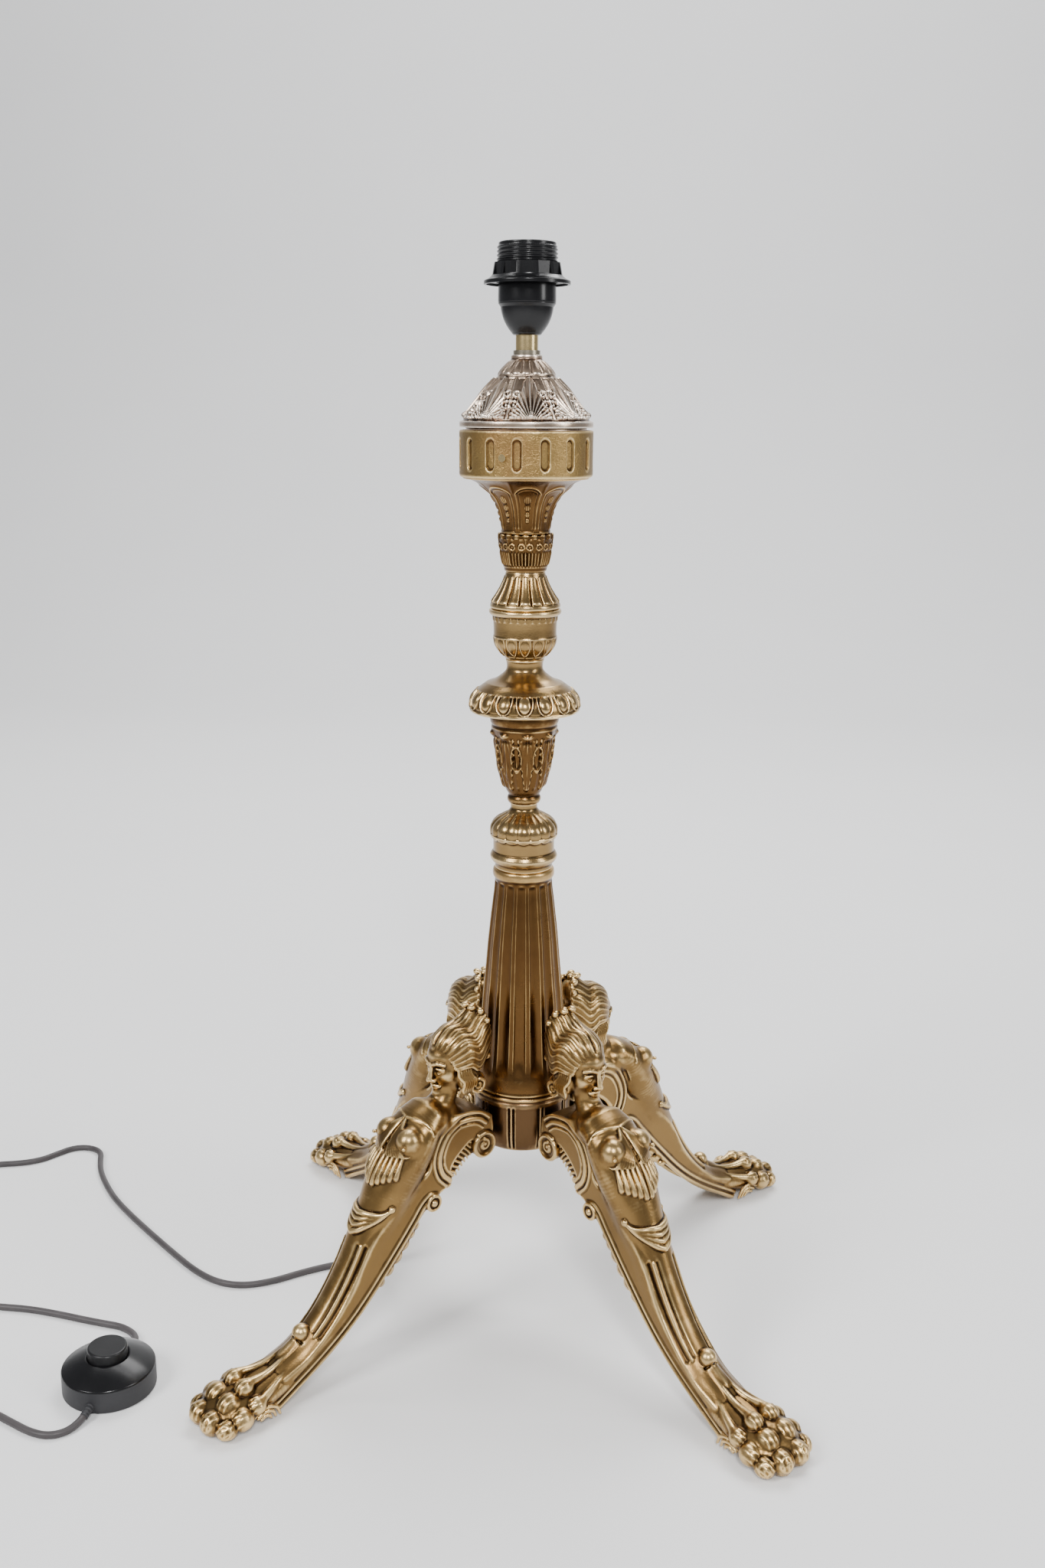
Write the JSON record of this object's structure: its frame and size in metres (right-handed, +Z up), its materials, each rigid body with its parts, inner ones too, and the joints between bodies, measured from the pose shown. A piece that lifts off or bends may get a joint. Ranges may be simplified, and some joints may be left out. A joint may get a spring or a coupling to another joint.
{
  "type": "floor lamp",
  "caption": "Candlestick floor lamp: stacked turned and cast metal stem on winged scroll legs with paw feet, screwed bulb socket with shade ring, foot switch on the lead.",
  "frame": {"origin": "on the floor under the lamp axis", "axes": "+Z up along the stem, -Y to the front, legs at 45 degrees to X and Y"},
  "size_m": [0.7357, 0.5127, 0.7674],
  "materials": {
    "bronze": "antique gilt bronze, worn",
    "bronze_dark": "dark patinated bronze",
    "brass_aged": "aged greenish brass",
    "copper_silver": "worn coppered silver",
    "brass": "bright brass",
    "steel": "zinc plated",
    "black_gloss": "glossy",
    "black_matte": "matt",
    "insulator": "matt",
    "cord": "satin sheath"
  },
  "bodies": {
    "lamp": {"base_drum": "bronze_dark", "fluted_column": "bronze", "cushion_collar": "bronze", "leaf_vase": "bronze", "drip_disc": "bronze", "knop": "bronze", "gadroon_bell": "bronze", "leaf_collar": "bronze", "capital": "bronze", "slotted_cup": "brass_aged", "dome_cap": "copper_silver", "tie_tube": "steel", "holder_cap": "black_gloss", "holder_sleeve": "black_gloss", "socket_insert": "insulator", "terminals": "brass", "screw_shell": "steel", "inner_flex": "cord", "cord_bush": "black_matte", "leg_bolts": "steel", "cup_screw": "brass", "leg_front_left": "bronze", "leg_front_right": "bronze", "leg_rear_left": "bronze", "leg_rear_right": "bronze", "base_washer": "steel", "base_nut": "steel", "cup_washer": "steel", "cup_nut": "steel", "dome_nut": "steel", "lock_ring": "brass", "cover_tube": "brass", "switch_base": "black_matte", "switch_cover": "black_gloss", "switch_spring": "steel", "switch_contacts": "brass", "lamp_lead": "cord", "mains_lead": "cord", "mains_coil": "cord", "plug_body": "black_matte", "plug_pins": "steel"},
    "contact": {"centre_contact": "brass"},
    "ring": {"shade_ring": "black_gloss"},
    "button": {"switch_button": "black_gloss"}
  },
  "joints": [
    {"name": "contact_press", "type": "slide", "parent": "lamp", "child": "contact", "axis": [0, 0, -1], "range_m": [0, 0.0015], "stiffness_N_per_m": 3000},
    {"name": "shade_ring_screw", "type": "slide", "parent": "lamp", "child": "ring", "axis": [0, 0, 1], "range_m": [0, 0.012]},
    {"name": "button_press", "type": "slide", "parent": "lamp", "child": "button", "axis": [0, 0, -1], "range_m": [0, 0.003], "stiffness_N_per_m": 4000, "deforming": ["switch_spring"]}
  ]
}
